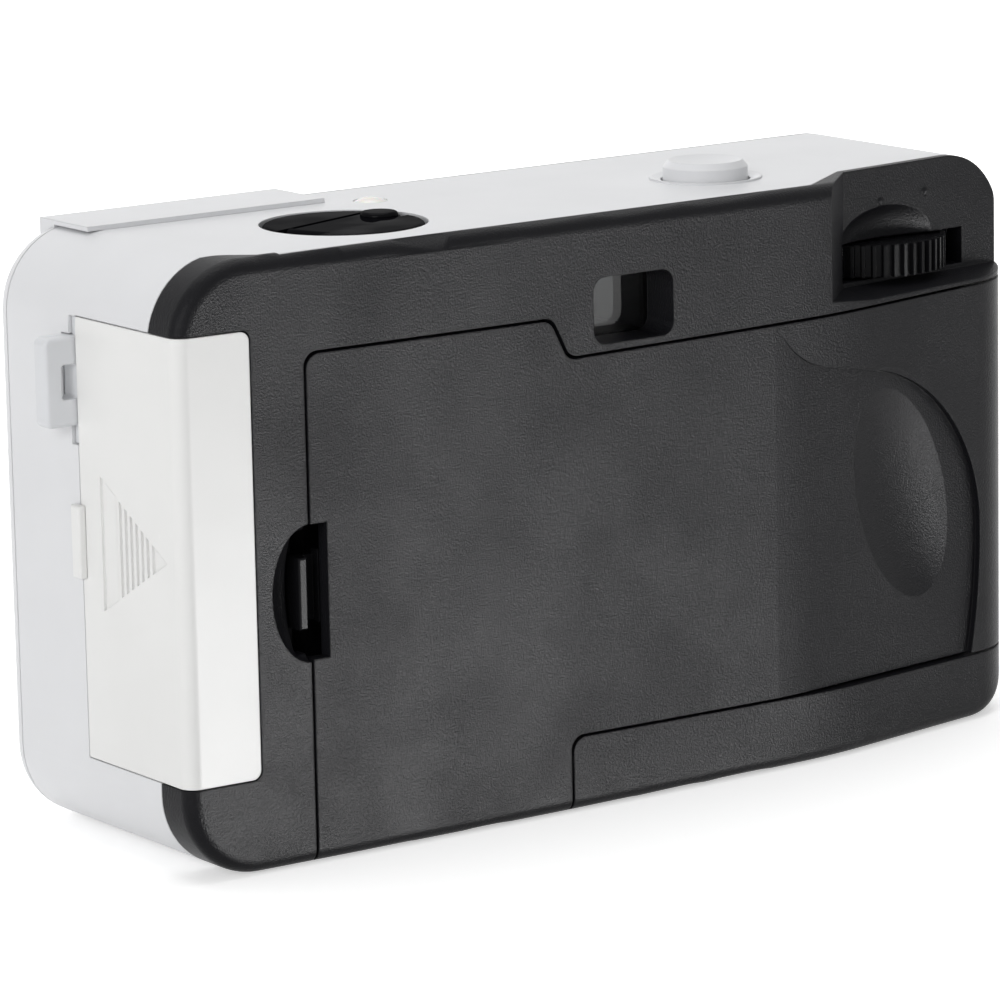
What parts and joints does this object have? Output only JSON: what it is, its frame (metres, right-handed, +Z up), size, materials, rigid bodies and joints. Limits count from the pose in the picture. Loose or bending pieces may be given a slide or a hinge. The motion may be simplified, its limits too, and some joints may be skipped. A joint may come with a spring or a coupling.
{
  "type": "reusable 35 mm film camera",
  "caption": "Compact reusable 35 mm film camera, white front and black grained back, with hinged film door, thumb wheel, rewind crank, flash and side battery door.",
  "frame": {"origin": "middle of the flat base, on the surface the camera stands on", "axes": "+X to the viewer's left, where the battery door and the strap lug are; +Y out through the film door; +Z up; the lens looks along -Y"},
  "size_m": [0.1176, 0.0375, 0.065],
  "materials": {
    "white_shell": "cool white moulded ABS, satin gloss with a very fine grain",
    "white_battery_door": "slightly warmer white moulded ABS, satin gloss",
    "black_grain": "black moulded plastic with a fine spark-eroded grain and a soft sheen",
    "black_inner": "matt black moulded plastic inside the camera",
    "black_gloss": "polished black plastic",
    "grey_lug": "light grey moulded plastic",
    "clear_window": "clear moulded acrylic",
    "lens_glass": "clear polished acrylic lens",
    "steel": "plain steel wire, pins, clips and screws",
    "spring_steel": "spring steel strip",
    "nickel": "nickel plated contact strip",
    "reflector": "metallised flash reflector",
    "board": "green printed circuit board",
    "capacitor_sleeve": "dark shrink sleeve on the flash capacitor",
    "lamp_lens": "milky translucent lamp lens",
    "ferrite": "ferrite and tape of the small transformer",
    "dial": "white counter dial with plain printed numbers"
  },
  "bodies": {
    "camera": {"front_cover": "white_shell", "body_shell": "white_shell", "flash_bezel": "white_shell", "rear_frame": "black_grain", "film_chassis": "black_inner", "cartridge_wall": "black_inner", "cartridge_roof": "black_inner", "take_up_wall": "black_inner", "spool_floor": "black_inner", "spool_bridge": "black_inner", "light_tunnel": "black_inner", "gate_plate": "black_inner", "battery_walls": "black_inner", "lower_panel": "black_grain", "strap_lug": "grey_lug", "hinge_pin": "steel", "lens_bezel": "black_gloss", "lens_barrel": "black_inner", "front_lens": "lens_glass", "lens_ring": "black_inner", "blade_pivot": "steel", "viewfinder_tunnel": "black_inner", "viewfinder_front_lens": "clear_window", "viewfinder_rear_lens": "clear_window", "flash_window": "clear_window", "flash_reflector": "reflector", "flash_tube": "lens_glass", "flash_board": "board", "flash_capacitor": "capacitor_sleeve", "flash_transformer": "ferrite", "battery_contact_plate": "nickel", "battery_contact_spring": "nickel", "counter_window": "clear_window", "button_collar": "white_shell", "button_spring": "spring_steel", "ready_lamp": "lamp_lens", "case_screws": "steel"},
    "back_door": {"film_door": "black_grain", "pressure_spring": "spring_steel"},
    "film_pressure": {"pressure_plate": "black_inner"},
    "latch": {"door_latch": "black_inner"},
    "battery_cover": {"battery_door": "white_battery_door"},
    "rewind_lifter": {"rewind_clip": "steel"},
    "rewind": {"rewind_knob": "black_gloss", "rewind_shaft": "black_inner", "crank_pin": "steel"},
    "crank": {"rewind_crank": "black_gloss"},
    "release": {"shutter_button": "white_shell"},
    "advance": {"thumb_wheel": "black_inner", "take_up_spool": "black_inner"},
    "film_sprocket": {"sprocket": "black_inner"},
    "counter": {"counter_dial": "dial"},
    "rewind_release": {"rewind_release_button": "black_gloss"},
    "flash_slider": {"flash_switch": "black_gloss"},
    "blade": {"shutter_blade": "black_inner"}
  },
  "joints": [
    {"name": "door_hinge", "type": "hinge", "parent": "camera", "child": "back_door", "pos_m": [-0.0545, 0.0046, 0.0282], "axis": [0, 0, 1], "range_deg": [0, 100]},
    {"name": "pressure_plate_slide", "type": "slide", "parent": "back_door", "child": "film_pressure", "axis": [0, 1, 0], "range_m": [0, 0.0004], "stiffness_N_per_m": 400},
    {"name": "latch_slide", "type": "slide", "parent": "back_door", "child": "latch", "axis": [-1, 0, 0], "range_m": [0, 0.0018], "stiffness_N_per_m": 300},
    {"name": "battery_door_slide", "type": "slide", "parent": "camera", "child": "battery_cover", "axis": [0, 1, 0], "range_m": [0, 0.022]},
    {"name": "rewind_lift", "type": "slide", "parent": "camera", "child": "rewind_lifter", "axis": [0, 0, 1], "range_m": [0, 0.005]},
    {"name": "rewind_turn", "type": "hinge", "parent": "rewind_lifter", "child": "rewind", "pos_m": [0.0278, 0.004, 0.06], "axis": [0, 0, 1], "continuous": true},
    {"name": "crank_fold", "type": "hinge", "parent": "rewind", "child": "crank", "pos_m": [0.03333, 0.0059, 0.06225], "axis": [-0.3256, 0.9455, 0], "range_deg": [0, 140]},
    {"name": "shutter_press", "type": "slide", "parent": "camera", "child": "release", "axis": [0, 0, -1], "range_m": [0, 0.0012], "stiffness_N_per_m": 400, "deforming": ["button_spring"]},
    {"name": "thumb_wheel_turn", "type": "hinge", "parent": "camera", "child": "advance", "pos_m": [-0.0407, 0.0042, 0.05285], "axis": [0, 0, 1], "continuous": true},
    {"name": "sprocket_turn", "type": "hinge", "parent": "camera", "child": "film_sprocket", "pos_m": [-0.024, 0.0069, 0.0282], "axis": [0, 0, 1], "continuous": true},
    {"name": "counter_turn", "type": "hinge", "parent": "camera", "child": "counter", "pos_m": [-0.01, 0.004, 0.0023], "axis": [0, 0, 1], "continuous": true},
    {"name": "rewind_release_press", "type": "slide", "parent": "camera", "child": "rewind_release", "axis": [0, 0, 1], "range_m": [0, 0.0007], "stiffness_N_per_m": 300},
    {"name": "flash_switch_slide", "type": "slide", "parent": "camera", "child": "flash_slider", "axis": [0, 0, 1], "range_m": [0, 0.004]},
    {"name": "shutter_blade_turn", "type": "hinge", "parent": "camera", "child": "blade", "pos_m": [-0.009, -0.0107, 0.021], "axis": [0, 1, 0], "range_deg": [0, 40], "stiffness_Nm_per_rad": 0.0004}
  ],
  "couplings": [
    {"joint": "sprocket_turn", "follows": "thumb_wheel_turn", "ratio": 1},
    {"joint": "counter_turn", "follows": "thumb_wheel_turn", "ratio": -0.025}
  ]
}
